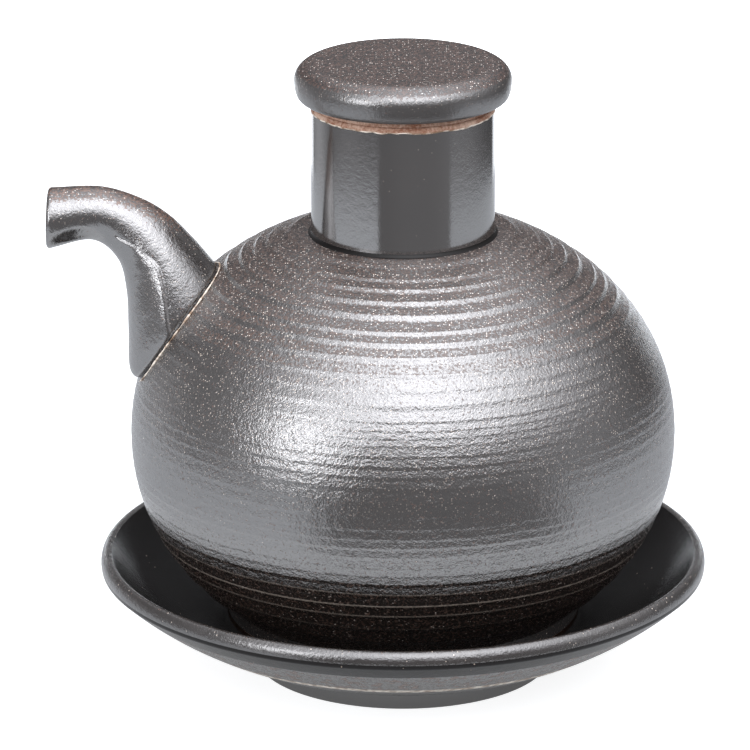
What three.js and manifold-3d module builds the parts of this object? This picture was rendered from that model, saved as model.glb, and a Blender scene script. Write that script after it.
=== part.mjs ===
// A glazed stoneware soup ewer with a loose lid and a saucer that it stands in.
// Millimetres, +Z up. The spout points along -X, and the turning axis is vertical.
import * as THREE from "three";
import { mergeVertices } from "three/addons/utils/BufferGeometryUtils.js";
import Module from "manifold-3d";

const wasm = await Module();
wasm.setup();

// Fits between pieces.
const slipJoint = 0.2; // layer of slip between two luted pieces that are shaped to each other
const plugClearance = 0.5; // between the lid's plug and the throat, on the radius

// Saucer: a thrown dish on a foot ring.
const saucerRadius = 61.5; // at the widest point of the lip
const saucerHeight = 23.9; // table to the top of the lip
const saucerLipOutside = [1.6, 2.4]; // width and height of the lip's rounding, outside its crest
const saucerLipInside = [1.4, 2]; // and inside it
const saucerUnderPull = [18.3, 5.4]; // what draws the underside's curve, out and up from the foot ring
const saucerInsidePull = [12, 3]; // what draws the inside's curve, out and up from the flat floor
const saucerFloor = 5.6; // thickness of the floor
const saucerFootRadius = 30.3;
const saucerFootWidth = 4.6;
const saucerFootHeight = 3.4; // seen from outside
const saucerRecess = 5.4; // depth of the hollow inside the foot ring
const seatMargin = 2.3; // flat floor left round the ewer's foot ring

// Ewer: a thrown globe with a straight collar and a formed spout luted on.
const bellyRadius = 55;
const globeRise = 45.4; // half the height that the globe would have if it closed
const fullness = 2.07; // 2 is an ellipse, and more is squarer
const globeWall = 4.2;
const ewerFloor = 4.8; // thickness of the globe's floor
const ewerFootRadius = 35.7;
const ewerFootWidth = 5;
const ewerFootHeight = 2.85;
const neckRadius = 18.4;
const neckWall = 3.6;
const neckHeight = 26.55;
const shoulderLedge = 4; // flat ring on the globe outside the neck
const rimRounding = 0.5; // edge of the neck's rim and of the lid's seat ring
const neckBead = 0.8; // height and width of the slip fillet at the neck's foot

// Spout, measured from the point of the globe that its root is centred on.
const spoutRootRise = 23.4; // height of that point over the globe's widest level
const spoutWall = 2.1;
const spoutBead = 0.5; // height and width of the slip fillet round the root
const mouthRounding = 0.7;
const spoutSunk = 14; // how far the passage is carried on into the globe
// The upper and lower edges of its outline as [outwards, upwards], and its half width at each pair.
const spoutUpperEdge = [
  [-13.5, 7.5],
  [-10.1, 11.5],
  [-5.9, 16.6],
  [-1.1, 21.5],
  [4.6, 25.1],
  [12.5, 27.6],
  [22.6, 27.4],
];
const spoutLowerEdge = [
  [3.7, -12.9],
  [7.2, -10.5],
  [7.5, -2.5],
  [7.8, 6.5],
  [9.5, 13.1],
  [14.5, 16.9],
  [23.8, 15.2],
];
const spoutHalfWidths = [11.6, 12.1, 10.6, 8.4, 6.6, 5.5, 6];

// Lid: a thick disc on an unglazed seat ring and a hollow plug.
const lidRadius = 21.7;
const lidThickness = 7.05;
const lidUpperRounding = [4.2, 3.5]; // width and height of the soft upper edge
const lidLowerRounding = [1.2, 3.55];
const lidRecess = 2.6; // hollow in the disc's underside, inside the plug
const seatRingHeight = 1.5;
const seatRingInset = 0.1; // seat ring inside the neck's outer wall
const plugDepth = 14;
const plugWall = 2.8;

// Fineness of the round surfaces.
const turns = 48;
const curveSteps = 7;
const spoutSides = 24;
const spoutRings = 14;

// Levels that follow from the sizes above.
const seatLevel = saucerRecess + saucerFloor;
const globeBottom = seatLevel + ewerFootHeight;
const bellyLevel = globeBottom + globeLift(ewerFootRadius);
const shoulderLevel = bellyLevel + globeLift(neckRadius + shoulderLedge);
const rimLevel = shoulderLevel + neckHeight;
const lidLevel = rimLevel + seatRingHeight;
const throatRadius = neckRadius - neckWall;

// How far from its widest level the globe narrows to a radius.
function globeLift(radius) {
  return globeRise * (1 - (radius / bellyRadius) ** fullness) ** (1 / fullness);
}

// The globe's outline from one level up to another, grown outwards or shrunk by a thickness.
function globeOutline(fromLevel, toLevel, grown, steps) {
  const rise = globeRise + grown;
  const angleAt = (level) => {
    const lift = Math.max(-1, Math.min(1, (level - bellyLevel) / rise));
    return Math.sign(lift) * Math.asin(Math.abs(lift) ** (fullness / 2));
  };
  return Array.from({ length: steps + 1 }, (_, i) => {
    const angle = THREE.MathUtils.lerp(angleAt(fromLevel), angleAt(toLevel), i / steps);
    const across = Math.max(0, Math.cos(angle)) ** (2 / fullness);
    const up = Math.sign(angle) * Math.abs(Math.sin(angle)) ** (2 / fullness);
    return [(bellyRadius + grown) * across, bellyLevel + rise * up];
  });
}

// Part of an ellipse between two angles, in degrees from straight outwards.
function arc(radius, level, [width, height], from, to, steps = 4) {
  return Array.from({ length: steps + 1 }, (_, i) => {
    const angle = THREE.MathUtils.degToRad(THREE.MathUtils.lerp(from, to, i / steps));
    return [radius + width * Math.cos(angle), level + height * Math.sin(angle)];
  });
}

// A smooth curve from one point to another, drawn towards a third.
function sweep(start, pull, end, steps = curveSteps) {
  const curve = new THREE.QuadraticBezierCurve(
    new THREE.Vector2(...start),
    new THREE.Vector2(...pull),
    new THREE.Vector2(...end),
  );
  return curve.getPoints(steps).map((p) => [p.x, p.y]);
}

function moved([radius, level], [out, up]) {
  return [radius + out, level + up];
}

// A turned body from an outline of [radius, level] points that runs up its outside.
function turned(outline) {
  const points = outline.map(([radius, level]) => new THREE.Vector2(radius, level));
  return new THREE.LatheGeometry(points, turns).rotateX(Math.PI / 2);
}

// A turned ring, whose outline closes on itself.
function turnedRing(outline) {
  return turned([...outline, outline[0]]);
}

function solidOf(geometry) {
  const bare = geometry.clone();
  bare.deleteAttribute("normal");
  bare.deleteAttribute("uv");
  const merged = mergeVertices(bare, 1e-4);
  return new wasm.Manifold(
    new wasm.Mesh({
      numProp: 3,
      vertProperties: merged.attributes.position.array,
      triVerts: new Uint32Array(merged.index.array),
    }),
  );
}

function geometryOf(solid) {
  const { vertProperties, triVerts } = solid.getMesh();
  const geometry = new THREE.BufferGeometry();
  geometry.setAttribute("position", new THREE.BufferAttribute(vertProperties, 3));
  geometry.setIndex(new THREE.BufferAttribute(triVerts, 1));
  geometry.computeVertexNormals();
  return geometry;
}

// The spout's outer form, or its passage when it is shrunk by the wall: elliptical rings between
// the upper and lower edges, closed at both ends.
function spoutForm(grown, isPassage) {
  const [rootOut] = globeOutline(bellyLevel, bellyLevel + spoutRootRise, 0, 1)[1];
  const rootLevel = bellyLevel + spoutRootRise;
  const place = ([out, up]) => new THREE.Vector3(-rootOut - out, 0, rootLevel + up);
  const upper = new THREE.CatmullRomCurve3(spoutUpperEdge.map(place));
  const lower = new THREE.CatmullRomCurve3(spoutLowerEdge.map(place));
  const widths = new THREE.SplineCurve(spoutHalfWidths.map((w, i) => new THREE.Vector2(i, w)));
  const rings = Array.from({ length: spoutRings + 1 }, (_, i) => {
    const along = i / spoutRings;
    const top = upper.getPoint(along);
    const bottom = lower.getPoint(along);
    const chord = top.clone().sub(bottom);
    return {
      centre: top.clone().add(bottom).divideScalar(2),
      halfHeight: chord.length() / 2 + grown,
      halfWidth: widths.getPoint(along).y + grown,
      // Straight out of the ring's plane, towards the mouth.
      ahead: new THREE.Vector3(-chord.z, 0, chord.x).normalize(),
      rise: chord.clone().normalize(),
    };
  });
  const slid = (ring, distance, shrunk) => ({
    ...ring,
    centre: ring.centre.clone().addScaledVector(ring.ahead, distance),
    halfHeight: ring.halfHeight - shrunk,
    halfWidth: ring.halfWidth - shrunk,
  });
  const mouth = rings[rings.length - 1];
  if (isPassage) {
    rings.unshift(slid(rings[0], -spoutSunk, 0));
    rings.push(slid(mouth, 2 * mouthRounding, 0));
  } else {
    for (const angle of [45, 90].map(THREE.MathUtils.degToRad)) {
      rings.push(slid(mouth, mouthRounding * Math.sin(angle), mouthRounding * (1 - Math.cos(angle))));
    }
  }
  return ringLoft(rings);
}

// A closed tube of elliptical rings, fanned shut at both ends.
function ringLoft(rings) {
  const across = new THREE.Vector3(0, 1, 0);
  const vertices = [];
  const faces = [];
  for (const ring of rings) {
    for (let side = 0; side < spoutSides; side++) {
      const angle = (2 * Math.PI * side) / spoutSides;
      const point = ring.centre
        .clone()
        .addScaledVector(ring.rise, ring.halfHeight * Math.cos(angle))
        .addScaledVector(across, ring.halfWidth * Math.sin(angle));
      vertices.push(...point.toArray());
    }
  }
  const last = (rings.length - 1) * spoutSides;
  const startCentre = rings.length * spoutSides;
  vertices.push(...rings[0].centre.toArray(), ...rings[rings.length - 1].centre.toArray());
  for (let side = 0; side < spoutSides; side++) {
    const next = (side + 1) % spoutSides;
    for (let start = 0; start < last; start += spoutSides) {
      const ahead = start + spoutSides;
      faces.push(start + side, start + next, ahead + side);
      faces.push(start + next, ahead + next, ahead + side);
    }
    faces.push(startCentre, next, side);
    faces.push(startCentre + 1, last + side, last + next);
  }
  const geometry = new THREE.BufferGeometry();
  geometry.setAttribute("position", new THREE.Float32BufferAttribute(vertices, 3));
  geometry.setIndex(faces);
  return geometry;
}

// The whole globe as a solid, grown by a thickness, to cut its neighbours with.
function globeSolid(grown) {
  const outline = globeOutline(-Infinity, Infinity, grown, 4 * curveSteps);
  return solidOf(turned(outline));
}

const ironGlaze = new THREE.MeshStandardMaterial({ color: 0x39342f, roughness: 0.36, metalness: 0 });
const thinGlaze = new THREE.MeshStandardMaterial({ color: 0x8a6f50, roughness: 0.45, metalness: 0 });
const bareClay = new THREE.MeshStandardMaterial({ color: 0xa4714a, roughness: 0.9, metalness: 0 });

function piece(name, geometry, material) {
  const mesh = new THREE.Mesh(geometry, material);
  mesh.name = name;
  return mesh;
}

function makeSaucer() {
  const recessRadius = saucerFootRadius - saucerFootWidth;
  const seatRadius = ewerFootRadius + seatMargin;
  const crestRadius = saucerRadius - saucerLipOutside[0];
  const outerLip = arc(crestRadius, saucerHeight - saucerLipOutside[1], saucerLipOutside, -20, 90);
  const innerLip = arc(crestRadius, saucerHeight - saucerLipInside[1], saucerLipInside, 90, 150, 2);
  const footCorner = [saucerFootRadius, saucerFootHeight];
  const seatCorner = [seatRadius, seatLevel];
  const dish = turned([
    [0, saucerRecess],
    [recessRadius, saucerRecess],
    [recessRadius, saucerFootHeight],
    ...sweep(footCorner, moved(footCorner, saucerUnderPull), outerLip[0]).slice(0, -1),
    ...outerLip,
    ...innerLip.slice(1, -1),
    ...sweep(innerLip.at(-1), moved(seatCorner, saucerInsidePull), seatCorner),
    [0, seatLevel],
  ]);
  const foot = turnedRing([
    [recessRadius, 0],
    [saucerFootRadius, 0],
    [saucerFootRadius, saucerFootHeight],
    [recessRadius, saucerFootHeight],
  ]);
  const saucer = new THREE.Group();
  saucer.add(piece("saucer_dish", dish, ironGlaze));
  saucer.add(piece("saucer_foot_ring", foot, ironGlaze));
  return saucer;
}

function makeEwer() {
  const insideFloor = globeBottom + ewerFloor;
  const shell = solidOf(
    turned([
      [0, globeBottom],
      ...globeOutline(globeBottom, shoulderLevel, 0, 2 * curveSteps),
      [throatRadius, shoulderLevel],
      ...globeOutline(insideFloor, shoulderLevel, -globeWall, 2 * curveSteps)
        .reverse()
        .map(([radius, level]) => [Math.max(radius, throatRadius), level]),
      [0, insideFloor],
    ]),
  );
  const body = shell.subtract(solidOf(spoutForm(-spoutWall, true)));

  const foot = turnedRing([
    [ewerFootRadius - ewerFootWidth, seatLevel],
    [ewerFootRadius, seatLevel],
    [ewerFootRadius, globeBottom],
    [ewerFootRadius - ewerFootWidth, globeBottom],
  ]);

  const neck = turnedRing([
    [throatRadius, shoulderLevel],
    [neckRadius, shoulderLevel],
    ...arc(neckRadius - rimRounding, rimLevel - rimRounding, [rimRounding, rimRounding], 0, 90, 2),
    [throatRadius, rimLevel],
  ]);

  const beadInside = neckRadius + slipJoint;
  const neckJoint = turnedRing([
    [beadInside, shoulderLevel],
    [beadInside + neckBead, shoulderLevel],
    [beadInside + neckBead / 4, shoulderLevel + neckBead / 3],
    [beadInside, shoulderLevel + neckBead],
  ]);

  const globeFace = globeSolid(slipJoint);
  const spout = solidOf(spoutForm(0, false))
    .subtract(solidOf(spoutForm(-spoutWall, true)))
    .subtract(globeFace);
  const spoutJoint = solidOf(spoutForm(slipJoint + spoutBead, false))
    .intersect(globeSolid(slipJoint + spoutBead))
    .subtract(solidOf(spoutForm(slipJoint, false)))
    .subtract(globeFace);

  const ewer = new THREE.Group();
  ewer.add(piece("ewer_body", geometryOf(body), ironGlaze));
  ewer.add(piece("ewer_foot_ring", foot, ironGlaze));
  ewer.add(piece("ewer_neck", neck, ironGlaze));
  ewer.add(piece("neck_joint_bead", neckJoint, ironGlaze));
  ewer.add(piece("ewer_spout", geometryOf(spout), ironGlaze));
  ewer.add(piece("spout_joint_bead", geometryOf(spoutJoint), thinGlaze));
  return ewer;
}

function makeLid() {
  const lidTop = lidLevel + lidThickness;
  const plugRadius = throatRadius - plugClearance;
  const plugBore = plugRadius - plugWall;
  const seatRadius = neckRadius - seatRingInset;
  const cap = turned([
    [0, lidLevel + lidRecess],
    [plugBore, lidLevel + lidRecess],
    [plugBore, lidLevel],
    ...arc(lidRadius - lidLowerRounding[0], lidLevel + lidLowerRounding[1], lidLowerRounding, -90, 0),
    ...arc(lidRadius - lidUpperRounding[0], lidTop - lidUpperRounding[1], lidUpperRounding, 0, 90),
    [0, lidTop],
  ]);
  const flange = turnedRing([
    [plugBore, rimLevel - plugDepth],
    [plugRadius - rimRounding, rimLevel - plugDepth],
    [plugRadius, rimLevel - plugDepth + rimRounding],
    [plugRadius, rimLevel],
    ...arc(seatRadius - rimRounding, rimLevel + rimRounding, [rimRounding, rimRounding], -90, 0, 2),
    [seatRadius, lidLevel],
    [plugBore, lidLevel],
  ]);
  const lid = new THREE.Group();
  lid.add(piece("lid_cap", cap, ironGlaze));
  lid.add(piece("lid_flange", flange, bareClay));
  return lid;
}

const group = new THREE.Group();
group.add(makeSaucer(), makeEwer(), makeLid());

// The frame's origin is on the table, under the middle of the whole length from spout to saucer.
const extent = new THREE.Box3().setFromObject(group);
group.position.x = -(extent.min.x + extent.max.x) / 2;

export default group;
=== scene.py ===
"""A glazed stoneware soup ewer with its lid and saucer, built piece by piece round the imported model."""
import math

import bmesh
import bpy
from mathutils import Matrix, Vector, noise


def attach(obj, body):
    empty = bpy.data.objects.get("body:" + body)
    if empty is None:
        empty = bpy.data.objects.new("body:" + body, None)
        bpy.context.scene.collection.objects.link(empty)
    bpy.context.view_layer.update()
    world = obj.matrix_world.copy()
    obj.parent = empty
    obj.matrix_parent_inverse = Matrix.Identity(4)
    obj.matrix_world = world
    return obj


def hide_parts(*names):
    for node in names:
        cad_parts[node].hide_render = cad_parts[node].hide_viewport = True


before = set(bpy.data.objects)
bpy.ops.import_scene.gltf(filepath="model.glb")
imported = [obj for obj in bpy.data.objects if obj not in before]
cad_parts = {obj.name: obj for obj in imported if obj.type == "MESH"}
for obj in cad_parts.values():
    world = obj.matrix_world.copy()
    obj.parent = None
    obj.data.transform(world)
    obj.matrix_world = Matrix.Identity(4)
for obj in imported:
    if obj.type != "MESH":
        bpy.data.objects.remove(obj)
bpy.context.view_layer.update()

# Saucer dish.
# Dark stoneware clay thrown on the wheel into a shallow dish with a rounded lip, trimmed
# underneath with a turning tool, and glazed all over with the iron glaze of the ewer.

MM = 0.001
AXIS_X = 5.344 * MM  # the turning axis, from the frame's origin
TURNS = 192  # faces round the axis
# Sizes of the pieces are in millimetres.
SAUCER_RADIUS = 61.5
SAUCER_HEIGHT = 23.9
LIP_OUTSIDE = (1.6, 2.4)  # width and height of the lip's rounding, outside its crest
LIP_INSIDE = (1.4, 2.0)  # and inside it
SAUCER_SEAT = 11.0  # level of the flat floor that the ewer stands on
SEAT_RADIUS = 38.0
INSIDE_PULL = (12, 3)  # what draws the inside's curve, out and up from the flat floor
UNDER_PULL = (18.3, 5.4)  # what draws the underside's curve, out and up from the foot ring
SAUCER_RECESS = 5.4  # depth of the hollow inside the foot ring
SAUCER_FOOT_RADIUS = 30.3
SAUCER_FOOT_WIDTH = 4.6
SAUCER_FOOT_HEIGHT = 3.4


def arc(centre, width, height, start, end, steps):
    """Points on an ellipse between two angles, in degrees from straight outwards."""
    points = []
    for i in range(steps + 1):
        angle = math.radians(start + (end - start) * i / steps)
        points.append((centre[0] + width * math.cos(angle), centre[1] + height * math.sin(angle)))
    return points


def sweep(start, pull, end, steps):
    """Points on a smooth curve from start to end, drawn towards pull."""
    points = []
    for i in range(steps + 1):
        t = i / steps
        a, b, c = (1 - t) ** 2, 2 * t * (1 - t), t**2
        points.append(tuple(a * s + b * p + c * e for s, p, e in zip(start, pull, end)))
    return points


def finish_mesh(name, bm, material, crease=40):
    """Makes an object of a bmesh, with its faces outwards and smooth up to the crease angle."""
    bmesh.ops.remove_doubles(bm, verts=bm.verts, dist=1e-7)
    bmesh.ops.recalc_face_normals(bm, faces=bm.faces)
    mesh = bpy.data.meshes.new(name)
    bm.to_mesh(mesh)
    bm.free()
    mesh.shade_smooth()
    mesh.set_sharp_from_angle(angle=math.radians(crease))
    mesh.materials.append(material)
    piece = bpy.data.objects.new(name, mesh)
    bpy.context.scene.collection.objects.link(piece)
    return piece


def throw(name, outline, material, closed=False):
    """Turns an outline of (radius, level) millimetres about the axis, as on the wheel."""
    bm = bmesh.new()
    verts = [bm.verts.new((AXIS_X + r * MM, 0, z * MM)) for r, z in outline]
    edges = [bm.edges.new(pair) for pair in zip(verts, verts[1:])]
    if closed:
        edges.append(bm.edges.new((verts[-1], verts[0])))
    bmesh.ops.spin(
        bm, geom=verts + edges, cent=(AXIS_X, 0, 0), axis=(0, 0, 1), dvec=(0, 0, 0),
        angle=2 * math.pi, space=Matrix(), steps=TURNS,
        use_merge=True, use_normal_flip=False, use_duplicate=False,
    )
    return finish_mesh(name, bm, material)


def colour(hex_code):
    """An sRGB hex colour as the linear values that shaders work in."""
    values = [int(hex_code[i : i + 2], 16) / 255 for i in (1, 3, 5)]
    return [v / 12.92 if v <= 0.04045 else ((v + 0.055) / 1.055) ** 2.4 for v in values] + [1]


def add_node(tree, kind, inputs=None, **settings):
    """Adds a node, sets its options, and sets or links its inputs."""
    made = tree.nodes.new(kind)
    for name, value in settings.items():
        setattr(made, name, value)
    for name, value in (inputs or {}).items():
        if isinstance(value, bpy.types.NodeSocket):
            tree.links.new(value, made.inputs[name])
        else:
            made.inputs[name].default_value = value
    return made


def new_material(name):
    """An empty node material and its tree."""
    material = bpy.data.materials.new(name)
    material.use_nodes = True
    material.node_tree.nodes.clear()
    return material, material.node_tree


def pinpoints(tree, place, spacing, share, sure, edge):
    """A mask of round pale grains, one to a cell of a spacing in millimetres. They come up in a share
    of the cells, fully in the sure part of it. Their edge fades between two parts of the spacing."""
    cell = add_node(
        tree, "ShaderNodeTexVoronoi", {"Vector": place, "Scale": 1 / (spacing * MM), "Randomness": 1.0}
    )
    pick = add_node(tree, "ShaderNodeSeparateColor", {"Color": cell.outputs["Color"]})
    chosen = add_node(
        tree, "ShaderNodeMapRange",
        {"Value": pick.outputs["Red"], "From Min": 1 - share, "From Max": 1 - sure},
    )
    round_grain = add_node(
        tree, "ShaderNodeMapRange",
        {"Value": cell.outputs["Distance"], "From Min": edge[0], "From Max": edge[1]},
    )
    grains = add_node(
        tree, "ShaderNodeMath", {0: chosen.outputs["Result"], 1: round_grain.outputs["Result"]},
        operation="MULTIPLY",
    )
    return grains.outputs["Value"]


def iron_glaze(
    name, crusted, roughness, peel, dots=0.03, upright=0.0, under=0.0, index=2.9, level=0.62,
    calm=0.7, grain=0.52, brown="#5a453b", crest_highlights=False,
):
    """Iron-saturated stoneware glaze fired in reduction: a black glass whose skin is crowded with
    iron oxide crystals, which give a gunmetal gloss. On level surfaces it turned to a brown crust.

    crusted, upright and under: how much crust the faces have that look up, sideways and down.
    level: the upward part of a face's direction from which it counts as looking up.
    roughness and index: those of the glass. The crystals raise its index above plain glass.
    peel: depth of the skin's relief. calm: the share of its grit left on upright faces.
    dots: share of the places for a pale grain that have one.
    grain and brown: size of the crust's grains in millimetres, and their colour.
    crest_highlights: whether the crests of the throwing rings are painted pale, as a painted highlight."""
    material, tree = new_material(name)
    place = add_node(tree, "ShaderNodeTexCoord").outputs["Object"]
    facing = add_node(
        tree, "ShaderNodeSeparateXYZ",
        {"Vector": add_node(tree, "ShaderNodeNewGeometry").outputs["Normal"]},
    )
    share = add_node(
        tree, "ShaderNodeMapRange",
        {"Value": facing.outputs["Z"], "From Min": level, "From Max": level + 0.2,
         "To Min": upright, "To Max": crusted},
    )
    beneath = add_node(
        tree, "ShaderNodeMapRange",
        {"Value": facing.outputs["Z"], "From Min": -0.25, "From Max": -0.5, "To Max": under},
    )
    both = add_node(
        tree, "ShaderNodeMath", {0: share.outputs["Result"], 1: beneath.outputs["Result"]},
        operation="ADD",
    )
    # Fine grains that crowd together to the crust.
    fine = add_node(
        tree, "ShaderNodeTexNoise",
        {"Vector": place, "Scale": 1 / (grain * MM), "Detail": 2.0, "Roughness": 0.7},
    )
    over = add_node(
        tree, "ShaderNodeMath", {0: fine.outputs["Fac"], 1: both.outputs["Value"]},
        operation="ADD",
    )
    crust = add_node(
        tree, "ShaderNodeMapRange",
        {"Value": over.outputs["Value"], "From Min": 0.62, "From Max": 0.74},
    )
    # Single pale grains of 0.2 mm, which get fewer as the surface turns down.
    dot = pinpoints(tree, place, 0.38, dots, 0.6 * dots, (0.38, 0.24))
    fewer = add_node(
        tree, "ShaderNodeMapRange",
        {"Value": facing.outputs["Z"], "From Min": -0.1, "From Max": 0.6, "To Min": 0.12, "To Max": 1},
    )
    sparse = add_node(
        tree, "ShaderNodeMath", {0: dot, 1: fewer.outputs["Result"]},
        operation="MULTIPLY",
    )
    # The glass is black, with browner clouds.
    cloud = add_node(
        tree, "ShaderNodeTexNoise", {"Vector": place, "Scale": 1 / (11 * MM), "Detail": 3.0}
    )
    ground = add_node(
        tree, "ShaderNodeMix",
        {"Factor": cloud.outputs["Fac"], "A": colour("#191614"), "B": colour("#28221f")},
        data_type="RGBA",
    )
    paint = add_node(
        tree, "ShaderNodeMix",
        {"Factor": sparse.outputs["Value"], "A": ground.outputs["Result"], "B": colour("#cfc2b4")},
        data_type="RGBA",
    )
    # The crust's grains run from near black in the pits to brown on the points.
    height = add_node(
        tree, "ShaderNodeMapRange",
        {"Value": fine.outputs["Fac"], "From Min": 0.46, "From Max": 0.6},
    )
    grains = add_node(
        tree, "ShaderNodeMix",
        {"Factor": height.outputs["Result"], "A": colour("#140e0c"), "B": colour(brown)},
        data_type="RGBA",
    )
    crust_paint = add_node(
        tree, "ShaderNodeMix",
        {"Factor": dot, "A": grains.outputs["Result"], "B": colour("#ebe2d9")},
        data_type="RGBA",
    )
    if crest_highlights:
        # The crests of the rings are painted pale: a painted highlight of the light that they catch.
        crest = add_node(tree, "ShaderNodeAttribute", attribute_name="ridge")
        broken = add_node(
            tree, "ShaderNodeMath", {0: crest.outputs["Fac"], 1: fine.outputs["Fac"]},
            operation="MULTIPLY",
        )
        # Where the crests are painted pale, as a painted highlight.
        bare = add_node(
            tree, "ShaderNodeMapRange",
            {"Value": broken.outputs["Value"], "From Min": 0.15, "From Max": 0.6},
        )
        paint = add_node(
            tree, "ShaderNodeMix",
            {"Factor": bare.outputs["Result"], "A": paint.outputs["Result"], "B": colour("#9d9388")},
            data_type="RGBA",
        )
    # The skin: soft waves of 1.7 mm, and the grains' grit, which melted in where the glaze ran.
    wave = add_node(
        tree, "ShaderNodeTexNoise",
        {"Vector": place, "Scale": 1 / (1.7 * MM), "Detail": 2.0, "Roughness": 0.5},
    )
    swell = add_node(
        tree, "ShaderNodeBump", {"Height": wave.outputs["Fac"], "Distance": 0.09 * MM * peel}
    )
    melted = add_node(
        tree, "ShaderNodeMapRange",
        {"Value": facing.outputs["Z"], "From Min": 0.0, "From Max": 0.5, "To Min": calm, "To Max": 1},
    )
    grit = add_node(
        tree, "ShaderNodeMath", {0: fine.outputs["Fac"], 1: melted.outputs["Result"]},
        operation="MULTIPLY",
    )
    relief = add_node(
        tree, "ShaderNodeBump",
        {"Height": grit.outputs["Value"], "Distance": 0.11 * MM * peel,
         "Normal": swell.outputs["Normal"]},
    )
    glass = add_node(
        tree, "ShaderNodeBsdfPrincipled",
        {
            "Base Color": paint.outputs["Result"],
            "Roughness": roughness,
            "IOR": index,
            "Normal": relief.outputs["Normal"],
        },
    )
    dry = add_node(
        tree, "ShaderNodeBsdfPrincipled",
        {
            "Base Color": crust_paint.outputs["Result"],
            "Roughness": 0.4,
            "IOR": 1.9,
            "Normal": relief.outputs["Normal"],
        },
    )
    shader = add_node(tree, "ShaderNodeMixShader", {"Fac": crust.outputs["Result"]})
    tree.links.new(glass.outputs["BSDF"], shader.inputs[1])
    tree.links.new(dry.outputs["BSDF"], shader.inputs[2])
    add_node(tree, "ShaderNodeOutputMaterial", {"Surface": shader.outputs["Shader"]})
    return material


def satin_black(name):
    """The same glaze where it cooled as plain black glass without crystals: a soft dark satin. Its
    index is set below that of glass, because the real one mirrors so little."""
    material, tree = new_material(name)
    place = add_node(tree, "ShaderNodeTexCoord").outputs["Object"]
    wave = add_node(
        tree, "ShaderNodeTexNoise",
        {"Vector": place, "Scale": 1 / (1.5 * MM), "Detail": 3.0, "Roughness": 0.6},
    )
    dot = pinpoints(tree, place, 0.6, 0.015, 0.0149, (0.26, 0.14))
    paint = add_node(
        tree, "ShaderNodeMix", {"Factor": dot, "A": colour("#100e0d"), "B": colour("#a89a8c")},
        data_type="RGBA",
    )
    relief = add_node(
        tree, "ShaderNodeBump", {"Height": wave.outputs["Fac"], "Distance": 0.04 * MM}
    )
    shader = add_node(
        tree, "ShaderNodeBsdfPrincipled",
        {
            "Base Color": paint.outputs["Result"],
            "Roughness": 0.24,
            "IOR": 1.29,
            "Normal": relief.outputs["Normal"],
        },
    )
    add_node(tree, "ShaderNodeOutputMaterial", {"Surface": shader.outputs["BSDF"]})
    return material


def wheel_place(point):
    """A point's direction from the turning axis, and its radius and level in millimetres."""
    place = point - Vector((AXIS_X, 0, 0))
    return place.xy.normalized(), place.xy.length / MM, place.z / MM


def dress_faces(piece, material, chosen):
    """Gives a second finish to the faces chosen by the radius and level of their middle, and by how
    far they look up, from -1 to 1."""
    piece.data.materials.append(material)
    number = len(piece.data.materials) - 1
    for face in piece.data.polygons:
        _, radius, level = wheel_place(face.center)
        if chosen(radius, level, face.normal.z):
            face.material_index = number


def thin_glaze(name):
    """The glaze running thin and cream over an edge, and under the saucer a painted highlight."""
    material, tree = new_material(name)
    place = add_node(tree, "ShaderNodeTexCoord").outputs["Object"]
    patch = add_node(
        tree, "ShaderNodeTexNoise", {"Vector": place, "Scale": 1 / (1.6 * MM), "Detail": 3.0}
    )
    cover = add_node(
        tree, "ShaderNodeMapRange", {"Value": patch.outputs["Fac"], "From Min": 0.4, "From Max": 0.58}
    )
    tint = add_node(
        tree, "ShaderNodeMix",
        {"Factor": cover.outputs["Result"], "A": colour("#8a7058"), "B": colour("#f4e9da")},
        data_type="RGBA",
    )
    shader = add_node(
        tree, "ShaderNodeBsdfPrincipled",
        {"Base Color": tint.outputs["Result"], "Roughness": 0.4, "IOR": 1.6},
    )
    add_node(tree, "ShaderNodeOutputMaterial", {"Surface": shader.outputs["BSDF"]})
    return material


foot_edge = (SAUCER_FOOT_RADIUS, SAUCER_FOOT_HEIGHT)
recess_radius = SAUCER_FOOT_RADIUS - SAUCER_FOOT_WIDTH
lip_crest = SAUCER_RADIUS - LIP_OUTSIDE[0]
outer_lip = arc((lip_crest, SAUCER_HEIGHT - LIP_OUTSIDE[1]), *LIP_OUTSIDE, -20, 90, 18)
inner_lip = arc((lip_crest, SAUCER_HEIGHT - LIP_INSIDE[1]), *LIP_INSIDE, 90, 125, 8)
under_pull = (SAUCER_FOOT_RADIUS + UNDER_PULL[0], SAUCER_FOOT_HEIGHT + UNDER_PULL[1])
inside_pull = (SEAT_RADIUS + INSIDE_PULL[0], SAUCER_SEAT + INSIDE_PULL[1])
saucer_outline = [
    (0, SAUCER_RECESS),
    (recess_radius - 1, SAUCER_RECESS),
    (recess_radius, SAUCER_FOOT_HEIGHT),
    foot_edge,
    *sweep(foot_edge, under_pull, outer_lip[0], 64)[1:-1],
    *outer_lip,
    *inner_lip[1:],
    *sweep(inner_lip[-1], inside_pull, (SEAT_RADIUS, SAUCER_SEAT), 30)[1:],
    (0, SAUCER_SEAT),
]
satin_glaze = satin_black("iron glaze, satin black")
saucer = throw("saucer", saucer_outline, satin_glaze)

# Crystals came up on the lip, where the glaze is thin.
CRYSTAL_RADIUS = 59.2
CRYSTAL_LEVEL = 21.45
lip_glaze = iron_glaze(
    "iron glaze, bright on the lip", crusted=0.0, roughness=0.2, peel=0.9, dots=0.02, upright=-0.1,
    index=2.2,
)
dress_faces(saucer, lip_glaze, lambda r, z, up: r > CRYSTAL_RADIUS and z > CRYSTAL_LEVEL)
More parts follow.
